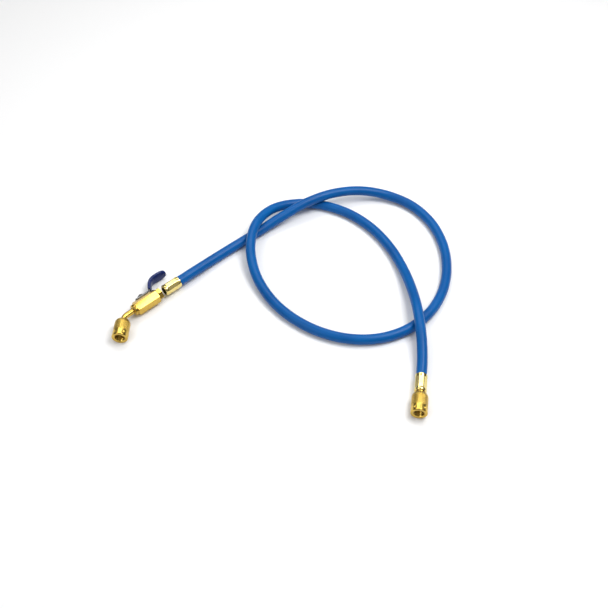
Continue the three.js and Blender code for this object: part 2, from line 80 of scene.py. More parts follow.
def facing(mouth, end):
    """A frame at a ferrule's mouth, with +Y towards the hose's cut end and +Z up."""
    along = (end - mouth).normalized()
    up = Vector((0, 0, 1))
    right = along.cross(up)
    turn = Matrix((right, along, up)).transposed()
    return Matrix.Translation(mouth) @ turn.to_4x4()


VALVE = facing(ROUTE[1], ROUTE[0])
COUPLER = facing(ROUTE[-2], ROUTE[-1])

# %% [markdown]
# ## Sizes
# The model was drawn in millimetres from these same values, so a piece that is drawn again
# here fits its neighbours. Distances along a fitting are counted from the ferrule's mouth.

# %% Sizes in millimetres
HOSE_RADIUS = 5.5
GAP = 0.3
FERRULE_LENGTH = 20
FERRULE_WALL = 0.5
FERRULE_OUTER = HOSE_RADIUS + GAP + FERRULE_WALL
FERRULE_LIP = 1.4
BARB_RADIUS = 5.5
BARB_START = 15.3
NECK_RADIUS = 4.2
TUBE_RADIUS = 3.175
TUBE_BORE = 2.2
NUT_RADIUS = 8.5
NUT_LENGTH = 23.5
NUT_BACK_WALL = 7
NUT_SOCKET = 5.2
COLLAR_RADIUS = 4.8
COLLAR_END = NUT_BACK_WALL + GAP + 2.5
NIPPLE_RADIUS = 2.8
NIPPLE_END = COLLAR_END + 1.8
BODY_START = 28.9
BODY_LENGTH = 28.8
BODY_FLATS = 14
BOSS = BODY_FLATS / 2 + 0.7
NOSE_LENGTH = 3.3
TUBE_SOCKET = 7.5
BALL_AT = BODY_START + BODY_LENGTH / 2
SEATS_REACH = 6.5
CORNER_FROM_BODY = 14.8
CORNER_AT = BODY_START + BODY_LENGTH + CORNER_FROM_BODY
ELBOW_ANGLE = math.radians(45)
ELBOW_RADIUS = 9.5
BEND_REACH = ELBOW_RADIUS * math.tan(ELBOW_ANGLE / 2)
STRAIGHT_BEFORE_NUT = 1.2
NUT_FROM_CORNER = BEND_REACH + STRAIGHT_BEFORE_NUT
STEM_ROLL = math.radians(94)
COUPLER_NUT_AT = 21.8


def shift(x, y, z):
    return Matrix.Translation(Vector((x, y, z)) * MM)


HEAD = VALVE @ shift(0, BALL_AT, 0) @ Matrix.Rotation(STEM_ROLL, 4, "Y")
ELBOW = VALVE @ shift(0, CORNER_AT, 0)
VALVE_NUT = ELBOW @ Matrix.Rotation(ELBOW_ANGLE, 4, "Z") @ shift(0, NUT_FROM_CORNER, 0)
COUPLER_NUT = COUPLER @ shift(0, COUPLER_NUT_AT, 0)
print("valve nut's mouth:", [round(c, 4) for c in VALVE_NUT @ Vector((0, NUT_LENGTH * MM, 0))])

# %% [markdown]
# ## The camera
# The photograph looks down on the loop at about 51 degrees with a mild perspective. That view
# was worked out from the loop's shape and the nuts' open mouths.

# %% Camera
VIEW_ELEVATION = math.radians(51)
VIEW_DISTANCE = 0.9075
VIEW_CENTRE = Vector((0.0381, 0.0524, 0))
FOCAL_SHARE = 835 / 608  # focal length as a share of the picture's width

camera_data = bpy.data.cameras.new("camera")
camera_data.sensor_fit = "HORIZONTAL"
camera_data.sensor_width = 36
camera_data.lens = camera_data.sensor_width * FOCAL_SHARE
camera = bpy.data.objects.new("camera", camera_data)
back = Vector((0, -math.cos(VIEW_ELEVATION), math.sin(VIEW_ELEVATION)))
camera.location = VIEW_CENTRE + back * VIEW_DISTANCE
camera.rotation_euler = (math.pi / 2 - VIEW_ELEVATION, 0, 0)
bpy.context.scene.collection.objects.link(camera)
bpy.context.scene.camera = camera

# %% [markdown]
# ## Shader maths as Python
# Node trees are easier to read as expressions. A Signal wraps one socket, and adding or
# multiplying it makes the Math node. Any other node comes from Finish.node, which sets the
# node's own settings first and then fills or links its sockets.

# %% Signal and Finish


class Signal:
    def __init__(self, finish, socket):
        self.finish = finish
        self.socket = socket

    def maths(self, operation, first, second):
        settings = {"operation": operation}
        return self.finish.node("ShaderNodeMath", settings, {0: first, 1: second})

    def __add__(self, other):
        return self.maths("ADD", self, other)

    def __mul__(self, other):
        return self.maths("MULTIPLY", self, other)

    __rmul__ = __mul__

    def __sub__(self, other):
        return self.maths("SUBTRACT", self, other)


class Finish:
    """A material around one Principled shader."""

    def __init__(self, name, **uniform):
        self.material = bpy.data.materials.new(name)
        self.material.use_nodes = True
        self.tree = self.material.node_tree
        self.shader = self.tree.nodes["Principled BSDF"]
        for socket, value in uniform.items():
            self.shader.inputs[socket.replace("_", " ")].default_value = value

    def node(self, kind, settings=None, inputs=None, output=0):
        made = self.tree.nodes.new(kind)
        for key, value in (settings or {}).items():
            setattr(made, key, value)
        for key, value in (inputs or {}).items():
            if isinstance(value, Signal):
                self.tree.links.new(value.socket, made.inputs[key])
            else:
                made.inputs[key].default_value = value
        return Signal(self, made.outputs[output])

    def feed(self, name, signal):
        self.tree.links.new(signal.socket, self.shader.inputs[name])
        return self

    def place(self, scale=(1, 1, 1), output="Object"):
        """Object coordinates in metres, or the UV map, scaled."""
        coordinates = self.node("ShaderNodeTexCoord", output=output)
        return self.node("ShaderNodeMapping", {}, {"Vector": coordinates, "Scale": scale})

    def noise(self, where, scale, detail=3.0, roughness=0.55):
        return self.node("ShaderNodeTexNoise", {}, {
            "Vector": where, "Scale": scale, "Detail": detail, "Roughness": roughness,
        })

    def spread(self, factor, low, high, new_low=0.0, new_high=1.0):
        """Maps low to high onto the new range, held at its ends."""
        return self.node("ShaderNodeMapRange", {"clamp": True}, {
            "Value": factor, "From Min": low, "From Max": high, "To Min": new_low, "To Max": new_high,
        })

    def mix(self, factor, first, second):
        return self.node("ShaderNodeMix", {"data_type": "RGBA"}, {
            "Factor": factor, 6: (*first, 1) if isinstance(first, tuple) else first,
            7: (*second, 1) if isinstance(second, tuple) else second,
        }, output=2)

    def bump(self, height, distance, strength=1.0):
        normal = self.node("ShaderNodeBump", {}, {
            "Height": height, "Distance": distance, "Strength": strength,
        })
        return self.feed("Normal", normal)


# %% [markdown]
# ## Modelling helpers
# Nearly every fitting here was turned on a lathe. Blender's bmesh has the same operation:
# spin takes a section and carries it round an axis. The helpers below draw a section, spin it,
# put the result in place, and hand it over as a finished object with smooth faces and sharp
# corners.

# %% Helpers that model and place a piece


def draw(points, closed=False):
    """A bmesh with one open or closed line of vertices in the local XY plane, in millimetres."""
    bm = bmesh.new()
    verts = [bm.verts.new(Vector((r, y, 0)) * MM) for r, y in points]
    pairs = list(zip(verts, verts[1:]))
    if closed:
        pairs.append((verts[-1], verts[0]))
    for a, b in pairs:
        bm.edges.new((a, b))
    return bm


def spin(points, segments=96, closed=False):
    """Turns a section about the local Y axis. An open section starts and ends on the axis."""
    bm = draw(points, closed)
    bmesh.ops.spin(
        bm, geom=bm.verts[:] + bm.edges[:], cent=(0, 0, 0), axis=(0, 1, 0), dvec=(0, 0, 0),
        angle=2 * math.pi, steps=segments, use_merge=True, use_duplicate=False,
    )
    bmesh.ops.remove_doubles(bm, verts=bm.verts, dist=1e-7)
    bmesh.ops.recalc_face_normals(bm, faces=bm.faces)
    return bm


def moved(bm, matrix):
    bmesh.ops.transform(bm, matrix=matrix, verts=bm.verts)
    return bm


def piece(name, bm, matrix, finish, body, nodes, sharp=35):
    """Turns a bmesh into a finished object that rides on a body and stands for CAD nodes."""
    moved(bm, matrix)
    mesh = bpy.data.meshes.new(name)
    bm.to_mesh(mesh)
    bm.free()
    mesh.shade_smooth()
    mesh.set_sharp_from_angle(angle=math.radians(sharp))
    mesh.materials.append(finish.material)
    made = bpy.data.objects.new(name, mesh)
    bpy.context.scene.collection.objects.link(made)
    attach(made, body)
    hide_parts(*nodes)
    print(name, len(mesh.polygons), "faces")
    return made


def rounded(bm, width, segments=3, angle=30):
    """Bevels every edge that is sharper than the angle."""
    edges = [e for e in bm.edges if e.is_manifold and e.calc_face_angle(0) > math.radians(angle)]
    bmesh.ops.bevel(
        bm, geom=edges, offset=width * MM, affect="EDGES", segments=segments, profile=0.5,
        material=-1, clamp_overlap=True,
    )
    return bm


# %% [markdown]
# ## Blue hose rubber
# A charging hose has a smooth extruded cover over a braid. Seen close it isn't one flat blue:
# fine lines run along it from the extruder's die, the braid shows through as a faint weave in
# the gloss, and handling leaves duller patches. The lines and the weave follow the hose, so
# they read the UV map: U is metres along the hose, and V goes once round it.

# %% Hose finish
HOSE_BLUE = (0.001, 0.105, 0.360)
HOSE_DEEP = (0.001, 0.076, 0.285)
BRAID_COUNT = 24
BRAID_PITCH = 0.009


def hose_rubber():
    finish = Finish("hose_rubber", Specular_IOR_Level=0.15, Coat_Weight=0.05, Coat_Roughness=0.22)
    around = 2 * math.pi * HOSE_RADIUS * MM
    along = finish.place((1, around, 1), "UV")
    lines = finish.noise(finish.place((30, 160 * around, 1), "UV"), 12, 2)
    patches = finish.noise(along, 26, 4)
    handled = finish.noise(along, 95, 5, 0.65)
    colour = finish.mix(finish.spread(patches, 0.35, 0.7), HOSE_BLUE, HOSE_DEEP)
    finish.feed("Base Color", colour)
    finish.feed("Roughness", finish.spread(handled + 0.3 * lines, 0.35, 0.95, 0.26, 0.42))
    uv = finish.place((1, 1, 1), "UV")
    metres = finish.node("ShaderNodeSeparateXYZ", {}, {0: uv})
    turns = finish.node("ShaderNodeSeparateXYZ", {}, {0: uv}, output=1)
    strands = turns * (2 * math.pi * BRAID_COUNT)
    twist = metres * (2 * math.pi / BRAID_PITCH)
    right = finish.node("ShaderNodeMath", {"operation": "SINE"}, {0: strands + twist})
    left = finish.node("ShaderNodeMath", {"operation": "SINE"}, {0: strands - twist})
    height = 0.5 * lines + 0.12 * (right * left) + 0.5 * handled
    return finish.bump(height, 0.00008, 0.5)


HOSE_FINISH = hose_rubber()

# %% [markdown]
# ## The hose
# A curve with a round bevel would do, but a mesh tube gives a UV map in real metres, which the
# rubber's lines need. The points of the route are joined by the same smooth curve that the
# model uses, a centripetal one that never overshoots between close points, and one ring of
# edges is extruded along it. Each new ring is turned by the smallest turn from the last tangent
# to the next, so that the tube doesn't twist.

# %% Hose


def between(p0, p1, p2, p3, t):
    """One span of a centripetal Catmull-Rom curve, from p1 to p2."""
    knots = [0.0]
    for a, b in ((p0, p1), (p1, p2), (p2, p3)):
        knots.append(knots[-1] + max((b - a).length ** 0.5, 1e-6))
    t0, t1, t2, t3 = knots
    at = t1 + (t2 - t1) * t
    a1 = p0.lerp(p1, (at - t0) / (t1 - t0))
    a2 = p1.lerp(p2, (at - t1) / (t2 - t1))
    a3 = p2.lerp(p3, (at - t2) / (t3 - t2))
    b1 = a1.lerp(a2, (at - t0) / (t2 - t0))
    b2 = a2.lerp(a3, (at - t1) / (t3 - t1))
    return b1.lerp(b2, (at - t1) / (t2 - t1))


def smooth_line(points, per_span):
    ends = [2 * points[0] - points[1], *points, 2 * points[-1] - points[-2]]
    line = []
    for i in range(len(points) - 1):
        line += [between(*ends[i:i + 4], k / per_span) for k in range(per_span)]
    return line + [points[-1]]


def tube(line, radius, sides):
    """Extrudes a ring along a line, with a UV map: U in metres along it, V once round it."""
    bm = bmesh.new()
    along_layer = bm.verts.layers.float.new("along")
    turn_layer = bm.verts.layers.float.new("turn")
    tangents = [(line[min(i + 1, len(line) - 1)] - line[max(i - 1, 0)]).normalized()
                for i in range(len(line))]
    ring = bmesh.ops.create_circle(bm, cap_ends=False, segments=sides, radius=radius)["verts"]
    for i, v in enumerate(ring):
        v[turn_layer] = i / sides
    first = Vector((0, 0, 1)).rotation_difference(tangents[0]).to_matrix().to_4x4()
    bmesh.ops.transform(bm, matrix=Matrix.Translation(line[0]) @ first, verts=ring)
    edges = bm.edges[:]
    travelled = 0.0
    for i in range(1, len(line)):
        new = bmesh.ops.extrude_edge_only(bm, edges=edges)["geom"]
        ring = [g for g in new if isinstance(g, bmesh.types.BMVert)]
        edges = [g for g in new if isinstance(g, bmesh.types.BMEdge)]
        turn = tangents[i - 1].rotation_difference(tangents[i]).to_matrix().to_4x4()
        step = Matrix.Translation(line[i]) @ turn @ Matrix.Translation(-line[i - 1])
        bmesh.ops.transform(bm, matrix=step, verts=ring)
        travelled += (line[i] - line[i - 1]).length
        for v in ring:
            v[along_layer] = travelled
    uv = bm.loops.layers.uv.new("UVMap")
    for face in bm.faces:
        turns = [loop.vert[turn_layer] for loop in face.loops]
        for loop, turn in zip(face.loops, turns):
            wrapped = turn + 1 if max(turns) - turn > 0.5 else turn
            loop[uv].uv = (loop.vert[along_layer], wrapped)
    bmesh.ops.holes_fill(bm, edges=[e for e in bm.edges if e.is_boundary], sides=0)
    bmesh.ops.recalc_face_normals(bm, faces=bm.faces)
    return bm


HOSE_LINE = smooth_line(ROUTE, 14)
HOSE_LENGTH = sum((b - a).length for a, b in zip(HOSE_LINE, HOSE_LINE[1:]))
print("hose length:", round(HOSE_LENGTH, 4), "m in", len(HOSE_LINE), "steps")
hose = piece("hose_rubber_cover", tube(HOSE_LINE, HOSE_RADIUS * MM, 40), Matrix(), HOSE_FINISH,
             "hose_line", ["hose"])

# %% [markdown]
# ## Brass
# Both fittings are turned from free-cutting brass and left bright. Up close the tool leaves
# fine rings, and the metal is never one even colour: fingers dull it in patches. The rings
# follow each piece's own axis, so every turned piece carries its distance along that axis as
# an attribute. A second attribute darkens the colour in hollows: in the knurl, its relief
# groove and the dimples this is partly tarnish and partly painted shade, and in the thread and
# the rest of each nut's bore it is painted shade. The ferrules are a paler, plated brass.

# %% Brass finishes
BRASS = (0.64, 0.435, 0.095)
BRASS_WARM = (0.54, 0.35, 0.068)
# The darkest colour of the hollows: partly tarnish, and painted shade inside the nuts.
BRASS_TARNISH_AND_SHADE = (0.045, 0.024, 0.006)
PALE = (0.82, 0.68, 0.28)
PALE_WARM = (0.74, 0.58, 0.19)


def turned_metal(name, bright, warm, tarnish_and_shade_colour, rings=1.0, low=0.13, high=0.30):
    finish = Finish(name, Metallic=1.0)
    along = finish.node("ShaderNodeAttribute", {"attribute_name": "along"}, output="Fac")
    tarnish_and_shade = finish.node("ShaderNodeAttribute", {"attribute_name": "tarnish_and_shade"}, output="Fac")
    line = finish.node("ShaderNodeCombineXYZ", {}, {"X": along * 9000})
    tool_marks = finish.noise(line, 1.0, 2)
    where = finish.place()
    patches = finish.noise(where, 140, 4)
    specks = finish.noise(where, 1500, 2)
    colour = finish.mix(finish.spread(patches, 0.38, 0.66), bright, warm)
    # Hollows are darkened here: partly tarnish, and painted shade that is darkest inside the nuts.
    colour = finish.mix(finish.spread(tarnish_and_shade, 0.15, 0.65), colour, tarnish_and_shade_colour)
    finish.feed("Base Color", colour)
    worn = patches * 0.7 + tool_marks * 0.3
    finish.feed("Roughness", finish.spread(worn + 0.5 * tarnish_and_shade, 0.3, 0.95, low, high))
    return finish.bump(tool_marks * rings + 0.3 * specks, 0.00002, 0.35)


BRASS_FINISH = turned_metal("turned_brass", BRASS, BRASS_WARM, BRASS_TARNISH_AND_SHADE)
FERRULE_FINISH = turned_metal("pale_brass_plate", PALE, PALE_WARM, BRASS_TARNISH_AND_SHADE, 0.3, 0.10, 0.24)


# %% [markdown]
# ## Cutting and joining
# A drilled or milled piece is easiest to make as the machinist does: start from bar, then cut
# with tools. Blender's Boolean modifier does that on two temporary objects, and its result
# goes back into a bmesh. Where edges are broken, a small bevel is made before the cut.

# %% Boolean helper


def boolean(bm, tool, operation="DIFFERENCE"):
    scratch = []
    for name, shape in (("target", bm), ("tool", tool)):
        mesh = bpy.data.meshes.new(name)
        shape.to_mesh(mesh)
        shape.free()
        made = bpy.data.objects.new(name, mesh)
        bpy.context.scene.collection.objects.link(made)
        scratch.append(made)
    target, cutter = scratch
    modifier = target.modifiers.new("cut", "BOOLEAN")
    modifier.operation = operation
    modifier.solver = "EXACT"
    modifier.object = cutter
    seen = target.evaluated_get(bpy.context.evaluated_depsgraph_get())
    result = bmesh.new()
    result.from_mesh(seen.to_mesh())
    seen.to_mesh_clear()
    for made in scratch:
        mesh = made.data
        bpy.data.objects.remove(made)
        bpy.data.meshes.remove(mesh)
    return result


def rod(radius, start, end, segments=48):
    return spin([(0, start), (radius, start), (radius, end), (0, end)], segments)


def upright(bm):
    """Turns a piece made along Y so that it stands along Z."""
    return moved(bm, Matrix.Rotation(math.pi / 2, 4, "X"))


def hexagon(flats, start, end, chamfer=0.0, corner=0.12):
    """A hexagon bar along Y, one flat up, its corners turned off at both ends."""
    bm = bmesh.new()
    to_corner = flats / math.sqrt(3)
    bmesh.ops.create_cone(
        bm, cap_ends=True, segments=6, radius1=to_corner * MM, radius2=to_corner * MM,
        depth=(end - start) * MM,
        matrix=shift(0, (start + end) / 2, 0) @ Matrix.Rotation(math.pi / 2, 4, "X"),
    )
    top = max(bm.verts, key=lambda v: v.co.z).co
    if abs(top.x) < 1e-5:
        moved(bm, Matrix.Rotation(math.pi / 6, 4, "Y"))
    long_edges = [e for e in bm.edges if abs(e.verts[0].co.y - e.verts[1].co.y) > 1e-5]
    bmesh.ops.bevel(
        bm, geom=long_edges, offset=corner * MM, affect="EDGES", segments=3, profile=0.5,
        material=-1,
    )
    if chamfer:
        reach = to_corner + GAP
        face = reach - chamfer
        run = chamfer * math.tan(math.radians(30))
        turned = spin([(0, start), (face, start), (reach, start + run), (reach, end - run),
                       (face, end), (0, end)], 96)
        bm = boolean(bm, turned, "INTERSECT")
    return bm


def attributed(bm, tarnish_and_shade=None):
    """Writes each vertex's distance along its piece, and how far its colour is darkened for tarnish and
    painted shade.
    """
    along = bm.verts.layers.float.new("along")
    painted_shade_and_tarnish = bm.verts.layers.float.new("tarnish_and_shade")
    for v in bm.verts:
        v[along] = v.co.y
        v[painted_shade_and_tarnish] = tarnish_and_shade(v) if tarnish_and_shade else 0.0
    return bm


# %% [markdown]
# ## Crimped ferrules
# A ferrule starts as a plain tube over the hose's end. Eight jaws then squeeze it, which
# leaves eight flats with narrow ridges between them, and a round collar at each end that the
# jaws didn't reach. Here the sleeve is spun round, and each point in the squeezed zone is
# pulled in to the jaw's flat.

# %% Ferrules
JAWS = 8
JAW_DEPTH = 0.36
JAW_START, JAW_END = 2.6, 17.2
JAW_EDGE = 0.7
JAW_ROWS = 30


def ferrule():
    bore = HOSE_RADIUS + GAP
    lip = FERRULE_LENGTH - FERRULE_LIP
    outside = [(FERRULE_OUTER - 0.3, 0), (FERRULE_OUTER, 0.25)]
    for i in range(JAW_ROWS + 1):
        outside.append((FERRULE_OUTER, JAW_START + (JAW_END - JAW_START) * i / JAW_ROWS))
    outside += [(FERRULE_OUTER, lip), (FERRULE_OUTER - 0.25, lip + 0.7),
                (FERRULE_OUTER - 0.7, FERRULE_LENGTH - 0.15), (FERRULE_OUTER - 1.0, FERRULE_LENGTH)]
    inside = [(NECK_RADIUS + GAP, FERRULE_LENGTH), (NECK_RADIUS + GAP, lip), (bore, lip), (bore, 0)]
    bm = spin(outside + inside, 192, closed=True)
    flat = FERRULE_OUTER - JAW_DEPTH
    for v in bm.verts:
        r = math.hypot(v.co.x, v.co.z) / MM
        y = v.co.y / MM
        if r < bore + 0.2 or not JAW_START < y < JAW_END:
            continue
        turn = math.atan2(v.co.x, v.co.z) / (2 * math.pi) * JAWS
        angle = (turn - round(turn)) / JAWS * 2 * math.pi
        pressed = min(r, flat / math.cos(angle))
        ease = min(1.0, (y - JAW_START) / JAW_EDGE, (JAW_END - y) / JAW_EDGE)
        ease = ease * ease * (3 - 2 * ease)
        scale = (r + (pressed - r) * ease) / r
        v.co.x *= scale
        v.co.z *= scale
    return attributed(bm)


for prefix, where in (("valve", VALVE), ("coupler", COUPLER)):
    piece(prefix + "_crimped_ferrule", ferrule(), where, FERRULE_FINISH, "hose_line",
          [prefix + "_ferrule"], sharp=40)

# %% [markdown]
# ## Knurled swivel nuts
# Each nut is turned, knurled with a pair of crossed wheels, bored, and threaded for a
# quarter-inch flare. The knurl runs over the domed shoulder and stops at a relief groove. The
# band in front of it is smooth, with six shallow dimples. Everything lies in one spun section,
# dense enough for the knurl. The knurl is real relief, because its sparkle depends on the
# slopes of its diamonds. The thread is a helix pressed into the bore in the same way.

# %% Nuts
NUT_BACK_RADIUS = 5
NUT_SHOULDER = 5.5
NUT_SHOULDER_ROWS = 18
NUT_EDGE = 0.9
DIAMONDS = 20
DIAMOND_LENGTH = 2.6
KNURL_DEPTH = 0.5
KNURL_START, KNURL_END = 1.0, 15.6
RELIEF = (15.6, 16.5, 0.4)
DIMPLES = 6
DIMPLE_RADIUS = 1.45
DIMPLE_DEPTH = 0.75
DIMPLE_AT = NUT_LENGTH - 3.8
THREAD_PITCH = 1.27
THREAD_DEPTH = 0.42
THREAD_START, THREAD_END = 11.4, NUT_LENGTH - 0.6
TUBE_HOLE = TUBE_RADIUS + 0.35
ROW = 0.3


def wave(t):
    """0 at whole numbers and 1 halfway between them, in straight lines."""
    return 1 - abs(2 * (t - math.floor(t)) - 1)


def nut_section():
    outside = []
    for i in range(NUT_SHOULDER_ROWS + 1):
        angle = i / NUT_SHOULDER_ROWS * math.pi / 2
        outside.append((NUT_BACK_RADIUS + (NUT_RADIUS - NUT_BACK_RADIUS) * math.sin(angle),
                        NUT_SHOULDER * (1 - math.cos(angle))))
    rows = round((NUT_LENGTH - NUT_EDGE - NUT_SHOULDER) / ROW)
    for i in range(1, rows + 1):
        outside.append((NUT_RADIUS, NUT_SHOULDER + (NUT_LENGTH - NUT_EDGE - NUT_SHOULDER) * i / rows))
    outside += [(NUT_RADIUS - 0.12, NUT_LENGTH - 0.55), (NUT_RADIUS - 0.75, NUT_LENGTH - 0.06),
                (NUT_RADIUS - 1.0, NUT_LENGTH)]
    inside = [(NUT_SOCKET + 1.0, NUT_LENGTH), (NUT_SOCKET + 0.8, NUT_LENGTH - 0.1)]
    rows = round((THREAD_END - THREAD_START) / (THREAD_PITCH / 5))
    for i in range(rows + 1):
        inside.append((NUT_SOCKET, THREAD_END - (THREAD_END - THREAD_START) * i / rows))
    inside += [(NUT_SOCKET, NUT_BACK_WALL), (TUBE_HOLE, NUT_BACK_WALL), (TUBE_HOLE, 0)]
    return outside + inside


def nut():
    bm = spin(nut_section(), 180, closed=True)
    bm.normal_update()
    # Each point's colour is darkened by the amount noted here. In the knurl, the relief groove and the
    # dimples this is partly tarnish and partly painted shade. In the thread and the rest of the bore it
    # is painted shade.
    painted_shade_and_tarnish = {}
    for v in bm.verts:
        y = v.co.y / MM
        r = math.hypot(v.co.x, v.co.z) / MM
        turn = math.atan2(v.co.x, v.co.z) / (2 * math.pi)
        cut = 0.0
        if r > NUT_SOCKET + 1.1 or (r > NUT_BACK_RADIUS - 0.01 and y < NUT_SHOULDER):
            if KNURL_START - 1 < y < KNURL_END:
                raised = min(wave(DIAMONDS * turn + y / DIAMOND_LENGTH),
                             wave(DIAMONDS * turn - y / DIAMOND_LENGTH))
                ease = min(1.0, max(0.0, y / 0.8))
                cut = KNURL_DEPTH * (1 - min(1.0, 1.15 * raised)) * ease
                painted_shade_and_tarnish[v] = cut / KNURL_DEPTH
            if RELIEF[0] < y < RELIEF[1]:
                cut = RELIEF[2]
                painted_shade_and_tarnish[v] = 0.7
            for i in range(DIMPLES):
                angle = (turn * DIMPLES - i - 0.5) / DIMPLES
                across = (angle - round(angle)) * 2 * math.pi * NUT_RADIUS
                away = math.hypot(across, y - DIMPLE_AT) / DIMPLE_RADIUS
                if away < 1:
                    cut = DIMPLE_DEPTH * math.sqrt(1 - away * away)
                    painted_shade_and_tarnish[v] = 0.25
        elif THREAD_START <= y <= THREAD_END and r < NUT_SOCKET + 0.05:
            ease = min(1.0, (y - THREAD_START) / 0.5, (THREAD_END - y) / 0.3)
            cut = THREAD_DEPTH * min(1.0, 1.25 * wave(turn + y / THREAD_PITCH)) * max(0.0, ease)
            painted_shade_and_tarnish[v] = 0.6 + 0.4 * cut / THREAD_DEPTH
        # The rest of the bore is painted fully in shade.
        elif r < NUT_SOCKET + 0.05:
            painted_shade_and_tarnish[v] = 1.0
        if cut:
            v.co -= v.normal * cut * MM
    return attributed(bm, lambda v: painted_shade_and_tarnish.get(v, 0.0))


for prefix, where in (("valve", VALVE_NUT), ("coupler", COUPLER_NUT)):
    piece(prefix + "_knurled_nut", nut(), where, BRASS_FINISH, prefix + "_swivel",
          [prefix + "_nut"], sharp=50)

# %% [markdown]
# ## What sits inside each nut
# A soft washer seals on the flare, and a core depressor pushes the service valve's pin. The
# depressor is a small turned pin on crossed vanes, pressed into the tube's bore.

# %% Gaskets and depressors
GASKET_RADIUS = 4.8
GASKET_LENGTH = 2.3
PIN_RADIUS = 0.75
PIN_BEHIND, PIN_AHEAD = 4, 3
VANE_LENGTH = 3.7
VANE_THICKNESS = 0.8
SEAL_BLACK = (0.012, 0.012, 0.013)
SEAL_GREY = (0.028, 0.027, 0.026)


def gasket():
    start = COLLAR_END + GAP
    end = start + GASKET_LENGTH
    hole = NIPPLE_RADIUS + GAP
    bm = spin([(GASKET_RADIUS, start), (GASKET_RADIUS, end), (hole, end), (hole, start)], 64,
              closed=True)
    return attributed(rounded(bm, 0.35, 4))


def depressor():
    half_vane = math.sqrt((TUBE_BORE - GAP) ** 2 - (VANE_THICKNESS / 2) ** 2)
    start = NIPPLE_END - PIN_BEHIND
    tip = NIPPLE_END + PIN_AHEAD
    pin = spin([(0, start), (PIN_RADIUS, start), (PIN_RADIUS, tip - 0.6), (0.68, tip - 0.28),
                (0.5, tip - 0.08), (0.25, tip - 0.01), (0, tip)], 32)
    for angle in (0, math.pi / 2):
        vane = bmesh.new()
        bmesh.ops.create_cube(vane, size=MM, matrix=(
            Matrix.Rotation(angle, 4, "Y") @ shift(0, start + VANE_LENGTH / 2, 0)
            @ Matrix.Diagonal((2 * half_vane, VANE_LENGTH, VANE_THICKNESS, 1))))
        pin = boolean(pin, rounded(vane, 0.12, 2), "UNION")
    return attributed(pin)


RUBBER = Finish("seal_rubber", Roughness=0.6, Specular_IOR_Level=0.35)
speckle = RUBBER.noise(RUBBER.place(), 900, 4)
RUBBER.feed("Base Color", RUBBER.mix(speckle, SEAL_BLACK, SEAL_GREY))
RUBBER.bump(speckle, 0.00003, 0.5)

for prefix, where in (("valve", VALVE_NUT), ("coupler", COUPLER_NUT)):
    piece(prefix + "_flare_washer", gasket(), where, RUBBER, "hose_line",
          [prefix + "_gasket"], sharp=50)
    piece(prefix + "_core_depressor", depressor(), where, BRASS_FINISH, "hose_line",
          [prefix + "_depressor"], sharp=40)

# %% [markdown]
# ## The coupler's stem
# The straight end is one turned piece. A shoulder is held in the ferrule, a flange stands
# behind the nut, and a collar and a nipple inside the nut keep it on and hold the washer.

# %% Coupler stem
FLANGE_RADIUS = 5.4
FLANGE_WIDTH = 1.2


def shoulder_section(neck_end):
    """The shoulder that a ferrule's lip holds, and the neck through the lip."""
    end = FERRULE_LENGTH - FERRULE_LIP - GAP
    return [(BARB_RADIUS, BARB_START), (BARB_RADIUS, end), (NECK_RADIUS, end), (NECK_RADIUS, neck_end)]


def seat_section(back):
    """The collar and nipple inside a nut, from the given place of the nut's back face."""
    collar = back + NUT_BACK_WALL + GAP
    nipple = back + COLLAR_END
    end = back + NIPPLE_END
    return [(TUBE_RADIUS, collar), (COLLAR_RADIUS, collar), (COLLAR_RADIUS, nipple),
            (NIPPLE_RADIUS, nipple), (NIPPLE_RADIUS, end), (TUBE_BORE, end)]


def coupler_stem():
    flange = FERRULE_LENGTH + GAP
    front = flange + FLANGE_WIDTH
    outside = shoulder_section(flange)
    outside += [(FLANGE_RADIUS, flange), (FLANGE_RADIUS, front), (TUBE_RADIUS, front)]
    section = outside + seat_section(COUPLER_NUT_AT) + [(TUBE_BORE, BARB_START)]
    return attributed(rounded(spin(section, 64, closed=True), 0.15, 2))


piece("coupler_turned_stem", coupler_stem(), COUPLER, BRASS_FINISH, "hose_line",
      ["coupler_stem"])

# %% [markdown]
# ## The hose adapter
# Behind the valve, the hose's barb ends in a round collar, a narrow neck, and a small hexagon
# that a spanner holds while the valve is screwed on.

# %% Hose adapter
RING_RADIUS = 5.3
RING_WIDTH = 2
SPANNER_FLATS = 11.6
SPANNER_LENGTH = 4.2
SPANNER_CHAMFER = 0.6
PLUG_RADIUS = 4.5


def adapter():
    ring = FERRULE_LENGTH + 2 * GAP
    ring_end = ring + RING_WIDTH
    hex_end = BODY_START - GAP
    plug_end = BALL_AT - SEATS_REACH
    section = shoulder_section(ring)
    section += [(RING_RADIUS, ring), (RING_RADIUS, ring_end), (NECK_RADIUS, ring_end)]
    section += [(NECK_RADIUS, hex_end), (PLUG_RADIUS, hex_end), (PLUG_RADIUS, plug_end)]
    section += [(TUBE_BORE, plug_end), (TUBE_BORE, BARB_START)]
    shaft = rounded(spin(section, 64, closed=True), 0.2, 3)
    spanner_grip = hexagon(SPANNER_FLATS, hex_end - SPANNER_LENGTH, hex_end, SPANNER_CHAMFER)
    spanner_grip = boolean(spanner_grip, rod(3.5, 0, 60))
    return attributed(boolean(shaft, spanner_grip, "UNION"))


piece("hexagon_hose_adapter", adapter(), VALVE, BRASS_FINISH, "hose_line",
      ["hose_adapter"], sharp=25)

# %% [markdown]
# ## The valve's body
# This is a length of hexagon bar. Its ends are turned to a 30 degree chamfer, which leaves the
# curved corners of any bar-stock fitting. A round nose takes the elbow tube, and a low boss
# carries the stem. The holes are really there, since the stem turns inside them.

# %% Valve body
BODY_CHAMFER = 2.3
NOSE_RADIUS = 6.3
BOSS_RADIUS = 3.6
BALL_ROOM_RADIUS = 4.8
STEM_HOLE_RADIUS = 2.45


